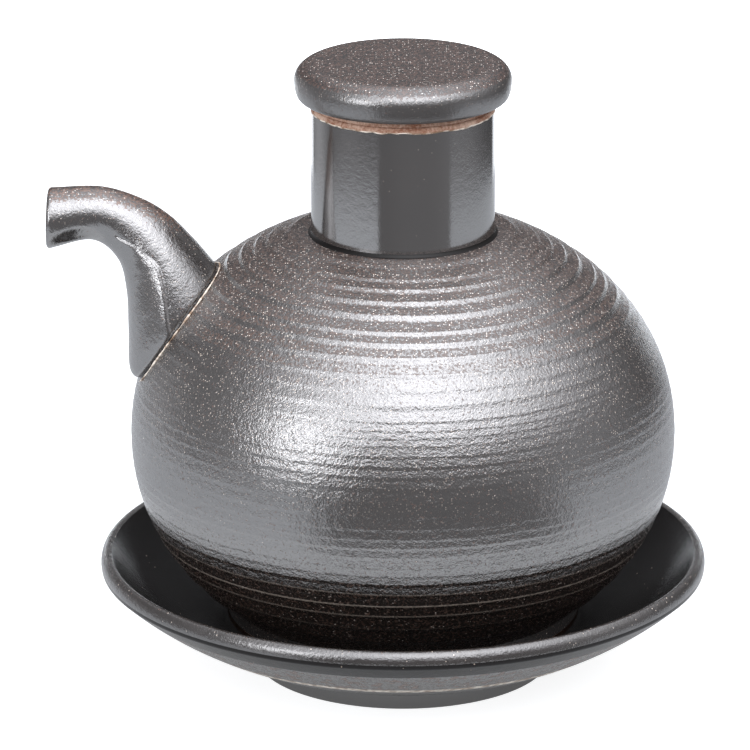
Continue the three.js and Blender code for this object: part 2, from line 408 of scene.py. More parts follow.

# Underneath, the glaze lies dry and rough on a band where the turning tool opened the clay, and
# a cream painted highlight runs along that band's inner edge.
LOOKS_DOWN = -0.1
TRIMMED = (49.2, 57.8)  # radii that the band lies between
HIGHLIGHT_BAND = (46.8, 49.2)
trimmed_glaze = iron_glaze(
    "iron glaze, dry over trimming", crusted=0.1, roughness=0.2, peel=3.4, upright=0.06, under=0.06,
    calm=1.0, grain=2.1,
)
thin = thin_glaze("thin glaze and painted highlight")
dress_faces(saucer, trimmed_glaze, lambda r, z, up: TRIMMED[0] < r < TRIMMED[1] and up < LOOKS_DOWN)
# The cream band at the trimmed band's inner edge is a painted highlight: the white table as mirrored by
# that edge.
dress_faces(saucer, thin, lambda r, z, up: HIGHLIGHT_BAND[0] < r < HIGHLIGHT_BAND[1] and up < LOOKS_DOWN)
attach(saucer, "saucer")
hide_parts("saucer_dish")

# Saucer foot ring.
# The ring left standing when the dish's underside was trimmed. It is glazed down its
# side and over its lower edge.

RING_CHAMFER = 0.6  # on the inner edge
foot_glaze = iron_glaze(
    "iron glaze, thin on the foot", crusted=0.0, roughness=0.25, peel=0.8, upright=-0.1
)
saucer_foot = throw(
    "saucer_foot",
    [
        (recess_radius, SAUCER_FOOT_HEIGHT),
        (recess_radius, RING_CHAMFER),
        (recess_radius + RING_CHAMFER, 0),
        (SAUCER_FOOT_RADIUS - 0.5, 0),
        (SAUCER_FOOT_RADIUS - 0.15, 0.15),
        (SAUCER_FOOT_RADIUS, 0.5),
        (SAUCER_FOOT_RADIUS, SAUCER_FOOT_HEIGHT),
    ],
    foot_glaze,
    closed=True,
)
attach(saucer_foot, "saucer")
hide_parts("saucer_foot_ring")

# Ewer body.
# A hollow globe thrown in one piece. The potter's fingers left rings round its shoulder, and
# the part near the foot was trimmed on the wheel. The rings' crests carry a painted highlight.

BELLY_RADIUS = 55
GLOBE_RISE = 45.4  # half the height that the globe would have if it closed
FULLNESS = 2.07  # 2 is an ellipse, and more is squarer
GLOBE_WALL = 4.2
GLOBE_FLOOR = 4.8
EWER_FOOT_RADIUS = 35.7
EWER_FOOT_HEIGHT = 2.85
NECK_RADIUS = 18.4
NECK_WALL = 3.6
SHOULDER_LEDGE = 4  # flat ring on the globe outside the neck


def globe_lift(radius):
    """How far above or below its widest level the globe narrows to a radius."""
    return GLOBE_RISE * (1 - (radius / BELLY_RADIUS) ** FULLNESS) ** (1 / FULLNESS)


GLOBE_BOTTOM = SAUCER_SEAT + EWER_FOOT_HEIGHT
BELLY_LEVEL = GLOBE_BOTTOM + globe_lift(EWER_FOOT_RADIUS)
SHOULDER_LEVEL = BELLY_LEVEL + globe_lift(NECK_RADIUS + SHOULDER_LEDGE)
THROAT_RADIUS = NECK_RADIUS - NECK_WALL


def globe_radius(level, grown=0.0):
    """The smooth globe's radius at a level."""
    part = min(1, abs(level - BELLY_LEVEL) / (GLOBE_RISE + grown))
    return (BELLY_RADIUS + grown) * (1 - part**FULLNESS) ** (1 / FULLNESS)


# Crests of the throwing rings, as (level, how far the surface tilts below the crest, in degrees).
CRESTS = [
    (90.9, 10), (89.15, 14), (87.93, 16), (86.37, 17), (84.57, 17), (82.2, 16), (80.45, 14),
    (78.17, 11), (75.4, 9), (73.0, 6), (70.5, 6), (67.8, 6), (66.2, 4), (64.8, 4), (63.4, 3),
    (61.4, 4), (59.45, 5), (57.45, 4), (55.3, 3), (52.5, 3), (49.7, 3), (47.1, 4), (45.0, 4),
    (43.15, 5), (41.1, 5), (39.0, 4), (36.9, 3), (34.9, 7), (32.25, 12), (29.25, 12), (26.55, 12),
    (22.7, 11), (18.8, 9), (13.85, 0),
]
# From one crest to the next the surface drops back steeply, runs on flatter and lifts to a lip.
RISER = 0.3  # part of the way at which the drop ends
LIP_START = 0.87  # and at which the lip starts
RUN_SLOPE = 0.37  # for a drop with a slope of 1
LIP_SLOPE = 0.69
STEPS = [0, 0.05, 0.14, 0.23, RISER, 0.38, 0.55, 0.75, LIP_START, 0.94]
CREST_SHOWS = {0: 1.0, 0.05: 0.7, 0.94: 1.0}  # how strongly the painted highlight shows on the crest at those steps


def globe_normal(level):
    """The outward direction of the smooth globe's side at a level, as (out, up)."""
    across, up = globe_radius(level + 0.02) - globe_radius(level - 0.02), 0.04
    length = math.hypot(across, up)
    return up / length, -across / length


def groove(step):
    """How deep the surface lies between crests, for a slope of 1 just below the upper crest."""
    if step < RISER:
        return step
    if step < LIP_START:
        return RISER - (step - RISER) * RUN_SLOPE
    return (1 - step) * LIP_SLOPE


def ring_key(radius, level):
    """Radius and level to a hundredth of a millimetre, by which a ring of points is found again."""
    return round(radius, 2), round(level, 2)


globe_outside = [(NECK_RADIUS + SHOULDER_LEDGE, SHOULDER_LEVEL)]
crest_highlights = {}
for (top, tilt), (bottom, _) in zip(CRESTS, CRESTS[1:]):
    spacing = math.hypot(top - bottom, globe_radius(top) - globe_radius(bottom))
    for step in STEPS:
        level = top + (bottom - top) * step
        depth = spacing * math.tan(math.radians(tilt)) * groove(step)
        out, up = globe_normal(min(level, SHOULDER_LEVEL - 0.05))
        point = (globe_radius(level) - out * depth, level - up * depth)
        # A point that doesn't lie lower than the last one is left out.
        if point[1] < globe_outside[-1][1] - 0.01:
            globe_outside.append(point)
            crest_highlights[ring_key(*point)] = CREST_SHOWS.get(step, 0.0)
globe_outside.append((EWER_FOOT_RADIUS, GLOBE_BOTTOM))
globe_outside.reverse()
floor_level = GLOBE_BOTTOM + GLOBE_FLOOR
INSIDE_STEPS = 60
globe_inside = []
for i in range(INSIDE_STEPS + 1):
    level = floor_level + (SHOULDER_LEVEL - floor_level) * i / INSIDE_STEPS
    globe_inside.append((max(THROAT_RADIUS, globe_radius(level, -GLOBE_WALL)), level))
globe_outline = [
    (0, GLOBE_BOTTOM),
    *globe_outside,
    *reversed(globe_inside),
    (0, floor_level),
]
globe_glaze = iron_glaze(
    "iron glaze, crystalline", crusted=0.26, roughness=0.19, peel=1.3, dots=0.23, upright=0.02,
    under=0.08, brown="#503d34", crest_highlights=True,
)
globe = throw("globe", globe_outline, globe_glaze)

# The crests' painted highlight is strongest low on the belly, weaker on the shoulder and near the foot.
BRIGHTEST_CREST_LEVEL = 29.3
DIMMER_CREST_LEVEL = 36
UNPAINTED_CREST_LEVEL = 17
SHOULDER_CREST_HIGHLIGHT = 0.2


def crest_highlight_strength(level):
    """How strongly the crests are painted pale as a highlight at a level, from 0 to 1."""
    fading_up = (level - BRIGHTEST_CREST_LEVEL) / (DIMMER_CREST_LEVEL - BRIGHTEST_CREST_LEVEL)
    above = max(SHOULDER_CREST_HIGHLIGHT, 1 - (1 - SHOULDER_CREST_HIGHLIGHT) * fading_up)
    below = (level - UNPAINTED_CREST_LEVEL) / (BRIGHTEST_CREST_LEVEL - UNPAINTED_CREST_LEVEL)
    return max(0, min(above, below))


WAVER = 0.22  # how far the rings waver up and down, because the hand didn't hold quite still
WAVER_FADE = 4  # height over which that fades out at the shoulder and at the foot
WAVER_ROUND = 1.3  # how fast it changes round the globe
WAVER_UP = 0.11  # and with each millimetre of height
# Each point on a crest carries its share of the painted highlight.
crest_line = globe.data.attributes.new("ridge", "FLOAT", "POINT")
for vert in globe.data.vertices:
    around, radius, level = wheel_place(vert.co)
    crest_line.data[vert.index].value = crest_highlights.get(ring_key(radius, level), 0.0) * crest_highlight_strength(level)
    on_inside = radius < globe_radius(level) - 1 or radius < NECK_RADIUS + SHOULDER_LEDGE / 2
    if on_inside:
        continue
    window = min(1, (SHOULDER_LEVEL - level) / WAVER_FADE, (level - GLOBE_BOTTOM) / WAVER_FADE)
    spot = (around.x * WAVER_ROUND, around.y * WAVER_ROUND, level * WAVER_UP)
    drift = WAVER * max(0, window) * noise.noise(spot)
    grown = globe_radius(level + drift) - globe_radius(level)
    vert.co.x += around.x * grown * MM
    vert.co.y += around.y * grown * MM
    vert.co.z += drift * MM
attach(globe, "ewer")
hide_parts("ewer_body")

# Ewer foot ring.
# The ring under the globe, glazed down its side. Its lower edge was wiped to the bare
# orange-brown clay before firing.


def bare_clay(name, tone, deep):
    """Unglazed stoneware fired orange-brown, slightly gritty."""
    material, tree = new_material(name)
    place = add_node(tree, "ShaderNodeTexCoord").outputs["Object"]
    grit = add_node(
        tree, "ShaderNodeTexNoise",
        {"Vector": place, "Scale": 1 / (0.5 * MM), "Detail": 4.0, "Roughness": 0.6},
    )
    blush = add_node(
        tree, "ShaderNodeTexNoise", {"Vector": place, "Scale": 1 / (7 * MM), "Detail": 2.0}
    )
    mottle = add_node(
        tree, "ShaderNodeMath", {0: grit.outputs["Fac"], 1: blush.outputs["Fac"]}, operation="ADD"
    )
    spread = add_node(
        tree, "ShaderNodeMapRange", {"Value": mottle.outputs["Value"], "From Min": 0.8, "From Max": 1.2}
    )
    tint = add_node(
        tree, "ShaderNodeMix",
        {"Factor": spread.outputs["Result"], "A": colour(deep), "B": colour(tone)},
        data_type="RGBA",
    )
    relief = add_node(
        tree, "ShaderNodeBump", {"Height": grit.outputs["Fac"], "Distance": 0.07 * MM}
    )
    shader = add_node(
        tree, "ShaderNodeBsdfPrincipled",
        {
            "Base Color": tint.outputs["Result"],
            "Roughness": 0.85,
            "Normal": relief.outputs["Normal"],
        },
    )
    add_node(tree, "ShaderNodeOutputMaterial", {"Surface": shader.outputs["BSDF"]})
    return material


EWER_FOOT_WIDTH = 5
WIPED_EDGE = 0.4  # width of the edge that was wiped
clay = bare_clay("bare stoneware", "#d8b9a4", "#94624a")
ring_inside = EWER_FOOT_RADIUS - EWER_FOOT_WIDTH
ewer_foot = throw(
    "ewer_foot",
    [
        (ring_inside, GLOBE_BOTTOM),
        (ring_inside, SAUCER_SEAT + 0.5),
        (ring_inside + 0.5, SAUCER_SEAT),
        (EWER_FOOT_RADIUS - WIPED_EDGE, SAUCER_SEAT),
        (EWER_FOOT_RADIUS, SAUCER_SEAT + WIPED_EDGE),
        (EWER_FOOT_RADIUS, SAUCER_SEAT + WIPED_EDGE + 0.15),
        (EWER_FOOT_RADIUS, GLOBE_BOTTOM),
    ],
    globe_glaze,
    closed=True,
)
dress_faces(ewer_foot, clay, lambda r, z, up: z < SAUCER_SEAT + WIPED_EDGE)
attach(ewer_foot, "ewer")
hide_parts("ewer_foot_ring")

# Neck.
# A straight collar thrown separately and luted to the shoulder. Its rim was wiped
# clean of glaze so that the lid didn't stick to it in the kiln.

NECK_HEIGHT = 26.55
RIM_LEVEL = SHOULDER_LEVEL + NECK_HEIGHT
RIM_ROUNDING = 0.5
THROAT_CHAMFER = 0.6
GLAZE_END = RIM_LEVEL - 0.95  # the rim is wiped down to here
PALE_WIDTH = 0.25  # of the pale edge where the glaze stopped
STRAIGHT_LEVEL = RIM_LEVEL - 4  # below this the wall takes no part in the glaze's uneven end
neck_glaze = iron_glaze(
    "iron glaze, smooth", crusted=0.1, roughness=0.13, peel=0.12, dots=0.02, upright=-0.2, index=3.2
)
rim_centre = (NECK_RADIUS - RIM_ROUNDING, RIM_LEVEL - RIM_ROUNDING)
neck = throw(
    "neck",
    [
        (THROAT_RADIUS, SHOULDER_LEVEL),
        (NECK_RADIUS, SHOULDER_LEVEL),
        (NECK_RADIUS, STRAIGHT_LEVEL),
        (NECK_RADIUS, GLAZE_END - PALE_WIDTH),
        (NECK_RADIUS, GLAZE_END),
        *arc(rim_centre, RIM_ROUNDING, RIM_ROUNDING, 0, 90, 5),
        (THROAT_RADIUS + THROAT_CHAMFER, RIM_LEVEL),
        (THROAT_RADIUS, RIM_LEVEL - THROAT_CHAMFER),
    ],
    neck_glaze,
    closed=True,
)
dress_faces(neck, clay, lambda r, z, up: z > GLAZE_END)
dress_faces(neck, thin, lambda r, z, up: GLAZE_END - PALE_WIDTH < z < GLAZE_END)
# The glaze ends in an uneven line, and the pale edge is a little uneven in width.
END_UNEVEN = 0.22
WIDTH_UNEVEN = 0.12
UNEVEN_ROUND = 9  # how fast the line changes round the neck
pale_middle = GLAZE_END - PALE_WIDTH / 2
for vert in neck.data.vertices:
    around, _, level = wheel_place(vert.co)
    if abs(level - pale_middle) < PALE_WIDTH:
        spot = around * UNEVEN_ROUND
        vert.co.z += END_UNEVEN * MM * noise.noise((spot.x, spot.y, 0.5))
        if level < pale_middle:
            vert.co.z += WIDTH_UNEVEN * MM * noise.noise((spot.x * 2, spot.y * 2, 7.5))
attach(neck, "ewer")
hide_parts("ewer_neck")

# Bead at the neck's foot.
# A line of slip pressed into the joint between neck and shoulder and glazed over. The glaze
# pooled there and stayed black.

BEAD = 0.8  # height and width
BEAD_TUCK = 0.2  # how far it reaches into the neck
bead_foot = SHOULDER_LEVEL - 0.1
neck_bead = throw(
    "neck_bead",
    [
        (NECK_RADIUS - BEAD_TUCK, bead_foot),
        *sweep(
            (NECK_RADIUS + BEAD, bead_foot),
            (NECK_RADIUS + 0.2, SHOULDER_LEVEL + 0.2),
            (NECK_RADIUS - 0.02, SHOULDER_LEVEL + BEAD),
            8,
        ),
        (NECK_RADIUS - BEAD_TUCK, SHOULDER_LEVEL + BEAD),
    ],
    satin_glaze,
    closed=True,
)
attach(neck_bead, "ewer")
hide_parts("neck_joint_bead")

# Spout.
# A tube of clay rolled and bent by hand, wide at its root and luted over the pour hole. Where
# its lower edge was drawn in to a leg, a soft fold is left down each side.

SPOUT_RISE = 23.4  # height of the root's middle over the globe's widest level
SPOUT_WALL = 2.1
ROOT_LEVEL = BELLY_LEVEL + SPOUT_RISE
ROOT_OUT = globe_radius(ROOT_LEVEL)
# Upper and lower edges of the spout's outline from there, as (outwards, upwards), and its half
# width at each pair of points.
SPOUT_UPPER = [
    (-13.5, 7.5), (-10.1, 11.5), (-5.9, 16.6), (-1.1, 21.5), (4.6, 25.1), (12.5, 27.6), (22.6, 27.4)
]
SPOUT_LOWER = [
    (3.7, -12.9), (7.2, -10.5), (7.5, -2.5), (7.8, 6.5), (9.5, 13.1), (14.5, 16.9), (23.0, 15.1)
]
SPOUT_HALF_WIDTHS = [11.6, 12.1, 10.6, 8.4, 6.6, 5.5, 6]
SPOUT_SIDES = 216
SPOUT_ROWS = 90


def along(values, part):
    """A smooth course through values, with part from 0 to 1. It carries on straight outside."""
    spans = len(values) - 1
    place = part * spans
    i = min(spans - 1, max(0, int(math.floor(place))))
    t = place - i
    b, c = values[i], values[i + 1]
    a = values[i - 1] if i else 2 * b - c
    d = values[i + 2] if i + 2 <= spans else 2 * c - b
    if t < 0:
        return b + t * (c - a) / 2
    if t > 1:
        return c + (t - 1) * (d - b) / 2
    return (
        b + t * (c - a) / 2
        + t**2 * (a - 2.5 * b + 2 * c - d / 2)
        + t**3 * (1.5 * (b - c) + (d - a) / 2)
    )


# The fold's course down the side, as (part along the spout, degrees from the upper edge, depth).
FOLD = [
    (0.0, 91, 0.3), (0.1, 90, 0.4), (0.2, 87.5, 0.5), (0.28, 83.5, 0.6), (0.36, 78, 0.6),
    (0.43, 75, 0.5), (0.5, 80, 0.25), (0.56, 88, 0.1), (0.6, 92, 0.1), (0.65, 97, 0.35),
    (0.7, 102, 0.35), (0.74, 106, 0.0), (1.01, 106, 0.0),
]
# The leg's clay steps up beside the fold and falls away softly, with a groove at the step's foot.
# Heights are shares of the fold's depth, and widths are degrees round the spout.
STEP_HEIGHT = 0.9
STEP_FROM = -2
STEP_WIDTH = 5
STEP_FADE = 16
GROOVE_DEPTH = 0.15
GROOVE_AT = -1.5
GROOVE_WIDTH = 2.5
# The hollow that the thumb pressed beside the mouth.
THUMB_DEPTH = 0.35
THUMB_PART = 0.91
THUMB_LENGTH = 0.045  # as a part of the spout
THUMB_SIDE = 124
THUMB_WIDTH = 14


def hump(distance):
    """A soft hump that is 1 in its middle, for a distance in widths of the hump."""
    return math.exp(-(distance**2))


def fold_depth(part, angle):
    """How deep the fold and the thumb's hollow press into the spout, negative where clay stands up."""
    side = math.degrees(min(angle, 2 * math.pi - angle))
    depth = 0.0
    for (a, first, deep), (b, second, shallow) in zip(FOLD, FOLD[1:]):
        if a <= part < b:
            t = (part - a) / (b - a)
            off = side - (first + (second - first) * t)
            here = deep + (shallow - deep) * t
            step = min(1, max(0, (off - STEP_FROM) / STEP_WIDTH))
            raised = step**2 * (3 - 2 * step) * hump(max(0, off) / STEP_FADE)
            depth -= STEP_HEIGHT * here * raised
            depth += GROOVE_DEPTH * here * hump((off - GROOVE_AT) / GROOVE_WIDTH)
    along_thumb = hump((part - THUMB_PART) / THUMB_LENGTH)
    across_thumb = hump((side - THUMB_SIDE) / THUMB_WIDTH)
    return depth + THUMB_DEPTH * along_thumb * across_thumb


def spout_point(part, angle, grown):
    """A point of the spout, with the angle measured from its upper edge towards the camera side."""
    edges = []
    for outline in (SPOUT_UPPER, SPOUT_LOWER):
        out, up = (along([point[i] for point in outline], part) for i in (0, 1))
        edges.append(Vector((-ROOT_OUT - out, 0, ROOT_LEVEL + up)))
    half = (edges[0] - edges[1]) / 2
    width = along(SPOUT_HALF_WIDTHS, part) + grown
    rise = half.normalized() * (half.length + grown)
    spoke = rise * math.cos(angle) + Vector((0, -width * math.sin(angle), 0))
    return (edges[0] + edges[1]) / 2 + spoke


def outside_globe(point, margin):
    """Whether a point is outside the globe grown by a margin."""
    if abs(point.z - BELLY_LEVEL) >= GLOBE_RISE + margin:
        return True
    return point.xy.length > globe_radius(point.z, margin)


def root_part(angle, grown, margin):
    """How far along the spout a line of it comes out of the globe, found by halving."""
    low, high = -0.6, 0.9
    for _ in range(40):
        middle = (low + high) / 2
        if outside_globe(spout_point(middle, angle, grown), margin):
            high = middle
        else:
            low = middle
    return high


def wrap_grid(name, place, rows, sides, material, crease=50):
    """A closed skin: a grid that wraps both ways, with each point put in its place."""
    bm = bmesh.new()
    bmesh.ops.create_grid(bm, x_segments=rows, y_segments=sides, size=1)
    for vert in bm.verts:
        row = (vert.co.x + 1) / 2 * rows
        side = (vert.co.y + 1) / 2 * sides
        point = place(round(row) % rows, round(side) % sides)
        vert.co = Vector((AXIS_X, 0, 0)) + point * MM
    return finish_mesh(name, bm, material, crease)


MOUTH_ROWS = 8
MOUTH_ROUNDING = 0.7
MOUTH_AHEAD = Vector((-1, 0, -0.06)).normalized()  # the way that the spout points
ROOT_SUNK = 0.3  # how far the root reaches into the globe
ROOT_TUCK = 0.8  # how far the skin is drawn in at the seam
TUCK_PART = 0.05  # the part of the spout over which it comes out again
INSIDE_ROWS = 40
spout_glaze = iron_glaze(
    "iron glaze, brown", crusted=0.3, roughness=0.2, peel=1.0, dots=0.13, upright=-0.02, calm=0.4,
    brown="#64483a",
)
spout_rows = []
for i in range(SPOUT_ROWS + 1):
    spout_rows.append(("out", i / SPOUT_ROWS, 0.0))
for i in range(1, MOUTH_ROWS):
    spout_rows.append(("mouth", 1.0, i / MOUTH_ROWS))
for i in range(INSIDE_ROWS + 1):
    spout_rows.append(("in", 1 - i / INSIDE_ROWS, 0.0))
spout_angles = [2 * math.pi * side / SPOUT_SIDES for side in range(SPOUT_SIDES)]
out_start = [root_part(angle, 0, -ROOT_SUNK) for angle in spout_angles]
in_start = [root_part(angle, -SPOUT_WALL, -ROOT_SUNK) for angle in spout_angles]


def spout_place(row, side):
    """Where a point of the spout's skin lies, by its row from root to mouth and back inside."""
    angle = spout_angles[side]
    kind, part, turn = spout_rows[row]
    if kind == "out":
        start = out_start[side]
        tucked = ROOT_TUCK * max(0, 1 - part / TUCK_PART) ** 2
        here = start + (1 - start) * part
        return spout_point(here, angle, -tucked - fold_depth(here, angle))
    if kind == "in":
        start = in_start[side]
        return spout_point(start + (1 - start) * part, angle, -SPOUT_WALL)
    swing = math.pi * turn
    over = spout_point(1.0, angle, -SPOUT_WALL / 2 * (1 - math.cos(swing)))
    return over + MOUTH_AHEAD * MOUTH_ROUNDING * math.sin(swing)


spout = wrap_grid("spout", spout_place, len(spout_rows), SPOUT_SIDES, spout_glaze)
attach(spout, "ewer")
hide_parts("ewer_spout")

# The pour hole, cut through the globe's wall as wide as the spout is inside.
HOLE_PARTS = [0.16, 0.08, 0.0]
HOLE_SUNK = 14  # how far it is carried on straight into the globe


def passage_ring(part, sunk):
    """A ring of points round the spout's passage, pushed straight in by a distance."""
    points = [spout_point(part, angle, -SPOUT_WALL) for angle in spout_angles]
    chord = (points[0] - points[SPOUT_SIDES // 2]).normalized()
    inwards = Vector((chord.z, 0, -chord.x))
    return [point + sunk * inwards for point in points]


bm = bmesh.new()
rings = []
for points in [passage_ring(part, 0) for part in HOLE_PARTS] + [passage_ring(0.0, HOLE_SUNK)]:
    verts = [bm.verts.new(Vector((AXIS_X, 0, 0)) + point * MM) for point in points]
    rings.append([bm.edges.new(pair) for pair in zip(verts, verts[1:] + verts[:1])])
for ring, following in zip(rings, rings[1:]):
    bmesh.ops.bridge_loops(bm, edges=ring + following)
for ring in (rings[0], rings[-1]):
    bmesh.ops.contextual_create(bm, geom=ring)
bore = finish_mesh("bore", bm, spout_glaze)
cut = globe.modifiers.new("pour hole", "BOOLEAN")
cut.operation = "DIFFERENCE"
cut.solver = "EXACT"
cut.object = bore
cut_globe = globe.evaluated_get(bpy.context.evaluated_depsgraph_get())
cut_mesh = bpy.data.meshes.new_from_object(cut_globe)
globe.modifiers.clear()
whole_mesh = globe.data
globe.data = cut_mesh
bpy.data.meshes.remove(whole_mesh)
bpy.data.objects.remove(bore)

# Bead round the spout's root.
# The ridge of slip left where the spout was luted on. The glaze ran off it, so it shows pale.

BEAD_ROWS = 10
BEAD_OUT = 0.42  # from the spout's skin to the bead's middle, at the spout's upper edge
BEAD_SPREAD = 0.5  # how much further out it lies at the lower edge
BEAD_PROUD = 0.32  # height of its middle over the globe
BEAD_RADIUS = 0.15  # give or take the unevenness
BEAD_UNEVEN = 0.18
UNEVEN_SCALE = 0.6


def bead_place(row, side):
    """A point of the bead, by its turn about its own line and its place round the root."""
    angle = spout_angles[side]
    root = spout_point(out_start[side], angle, 0)
    middle = spout_point(out_start[side], angle, -5)
    away = (root - middle).normalized()
    flat = Vector((root.x, root.y, 0)).normalized()
    slope = globe_radius(root.z + 0.05) - globe_radius(root.z - 0.05)
    normal = (flat * 0.1 - Vector((0, 0, slope))).normalized()
    away = (away - normal * away.dot(normal)).normalized()
    # Under the spout the bead is pressed in, close to the leg.
    low = max(0, -math.cos(angle) - 0.8) * 5
    out = BEAD_OUT + BEAD_SPREAD * math.sin(angle / 2) ** 2 - 0.5 * low
    centre = root + away * out + normal * (BEAD_PROUD - 0.28 * low)
    size = BEAD_RADIUS + BEAD_UNEVEN * noise.noise(root * UNEVEN_SCALE)
    swing = 2 * math.pi * row / BEAD_ROWS
    return centre + away * size * math.cos(swing) + normal * size * math.sin(swing)


spout_bead = wrap_grid("spout_bead", bead_place, BEAD_ROWS, SPOUT_SIDES, thin)
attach(spout_bead, "ewer")
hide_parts("spout_joint_bead")

# Lid.
# A thick disc thrown upside down, with its upper edge softened by the thumb, glazed on top
# and down its side.

LID_RADIUS = 21.7
LID_THICKNESS = 7.05
LID_UPPER_EDGE = (4.2, 3.5)  # width and height of the soft upper edge
LID_LOWER_EDGE = (1.2, 3.55)
LID_HOLLOW = 2.6  # in the disc's underside, inside the plug
LID_MIDDLE = 10  # the top is flat inside this radius
SEAT_RING = 1.5  # height of the ring that the disc sits on
LID_LEVEL = RIM_LEVEL + SEAT_RING
LID_TOP = LID_LEVEL + LID_THICKNESS
PLUG_CLEARANCE = 0.5
PLUG_WALL = 2.8
PLUG_RADIUS = THROAT_RADIUS - PLUG_CLEARANCE
PLUG_BORE = PLUG_RADIUS - PLUG_WALL
lid_glaze = iron_glaze(
    "iron glaze, brown on the lid", crusted=0.3, roughness=0.29, peel=0.9, dots=0.15, index=2.6,
    level=0.52, brown="#523e36",
)
lower_centre = (LID_RADIUS - LID_LOWER_EDGE[0], LID_LEVEL + LID_LOWER_EDGE[1])
upper_centre = (LID_RADIUS - LID_UPPER_EDGE[0], LID_TOP - LID_UPPER_EDGE[1])
lid = throw(
    "lid",
    [
        (0, LID_LEVEL + LID_HOLLOW),
        (PLUG_BORE, LID_LEVEL + LID_HOLLOW),
        (PLUG_BORE, LID_LEVEL),
        *arc(lower_centre, *LID_LOWER_EDGE, -90, 0, 16),
        *arc(upper_centre, *LID_UPPER_EDGE, 0, 90, 30),
        (LID_MIDDLE, LID_TOP),
        (0, LID_TOP),
    ],
    lid_glaze,
)
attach(lid, "lid")
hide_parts("lid_cap")

# Lid flange.
# The seat ring and the hollow plug under the disc, which centre the lid in the neck. They were
# left unglazed, so that lid and ewer could be fired together.

PLUG_DEPTH = 14
FLANGE_EDGE = 0.5  # rounding of the seat ring's lower edge and of the plug's end
SEAT_RING_RADIUS = NECK_RADIUS - 0.1  # just inside the neck's outer wall
plug_end = RIM_LEVEL - PLUG_DEPTH
flange = throw(
    "flange",
    [
        (PLUG_BORE, plug_end),
        (PLUG_RADIUS - FLANGE_EDGE, plug_end),
        (PLUG_RADIUS, plug_end + FLANGE_EDGE),
        (PLUG_RADIUS, RIM_LEVEL),
        *arc(
            (SEAT_RING_RADIUS - FLANGE_EDGE, RIM_LEVEL + FLANGE_EDGE),
            FLANGE_EDGE, FLANGE_EDGE, -90, 0, 5,
        ),
        (SEAT_RING_RADIUS, LID_LEVEL),
        (PLUG_BORE, LID_LEVEL),
    ],
    clay,
    closed=True,
)
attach(flange, "lid")
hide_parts("lid_flange")

# Table, backdrop and lights.
# A white table in a light tent that is open towards the camera. The cloth glows where a
# broad soft box stands above the camera, and a smaller box shines in from the left.


def straight_rays(tree, path):
    """1 for the rays that show a surface to the camera directly or through something clear."""
    return add_node(
        tree, "ShaderNodeMath",
        {0: path.outputs["Is Camera Ray"], 1: path.outputs["Is Transmission Ray"]},
        operation="MAXIMUM",
    ).outputs["Value"]


def white_card(name, tone, lift, mirrored):
    """Matt white card. Light is added for the rays that show it directly, and less for those that
    show it mirrored in the glaze."""
    material, tree = new_material(name)
    card = add_node(tree, "ShaderNodeBsdfDiffuse", {"Color": colour(tone)})
    path = add_node(tree, "ShaderNodeLightPath")
    glow = add_node(
        tree, "ShaderNodeMath", {0: path.outputs["Is Glossy Ray"], 1: mirrored},
        operation="MULTIPLY",
    )
    strength = add_node(
        tree, "ShaderNodeMath", {0: straight_rays(tree, path), 1: lift, 2: glow.outputs["Value"]},
        operation="MULTIPLY_ADD",
    )
    light = add_node(
        tree, "ShaderNodeEmission", {"Color": [1, 1, 1, 1], "Strength": strength.outputs["Value"]}
    )
    both = add_node(tree, "ShaderNodeAddShader")
    tree.links.new(card.outputs["BSDF"], both.inputs[0])
    tree.links.new(light.outputs["Emission"], both.inputs[1])
    add_node(tree, "ShaderNodeOutputMaterial", {"Surface": both.outputs["Shader"]})
    return material


def sector(name, points, start, end, material):
    """Sweeps a line of (distance, height) metres round the axis, from one direction to another. The
    directions are degrees from the camera's side."""
    bm = bmesh.new()
    turn = Matrix.Rotation(math.radians(start), 3, "Z")
    verts = [bm.verts.new(Vector((AXIS_X, 0, 0)) + turn @ Vector((0, -r, z))) for r, z in points]
    edges = [bm.edges.new(pair) for pair in zip(verts, verts[1:])]
    bmesh.ops.spin(
        bm, geom=verts + edges, cent=(AXIS_X, 0, 0), axis=(0, 0, 1), dvec=(0, 0, 0),
        angle=math.radians(end - start), space=Matrix(), steps=96,
        use_merge=end - start >= 360, use_normal_flip=False, use_duplicate=False,
    )
    return finish_mesh(name, bm, material)


NEAR = 0.11  # metres from the axis to where the table round the saucer ends
FAR = 0.36  # and to where the table ends
SWEEP_UP = [(FAR, 0), (0.42, 0.015), (0.44, 0.07)]
near_white = white_card("white table, near", "#b4b7b9", lift=0.86, mirrored=0.3)
far_white = white_card("white table, far", "#b4b7b9", lift=0.86, mirrored=0.04)
backdrop_white = white_card("white backdrop", "#e8ecee", lift=1.0, mirrored=0.5)
near_table = sector("near_table", [(0, 0), (NEAR, 0)], 0, 360, near_white)
far_table = sector("far_table", [(NEAR, 0), (FAR, 0)], 60, 330, far_white)
backdrop = sector("backdrop", SWEEP_UP, 148, 212, backdrop_white)

world = bpy.data.worlds.new("tent")
bpy.context.scene.world = world
world.use_nodes = True
tree = world.node_tree
tree.nodes.clear()
direction = add_node(tree, "ShaderNodeTexCoord").outputs["Generated"]


def towards(around, above):
    """The direction at an angle round from the camera side and an angle above the table."""
    a, e = math.radians(around), math.radians(above)
    return Vector((math.sin(a) * math.cos(e), -math.cos(a) * math.cos(e), math.sin(e)))


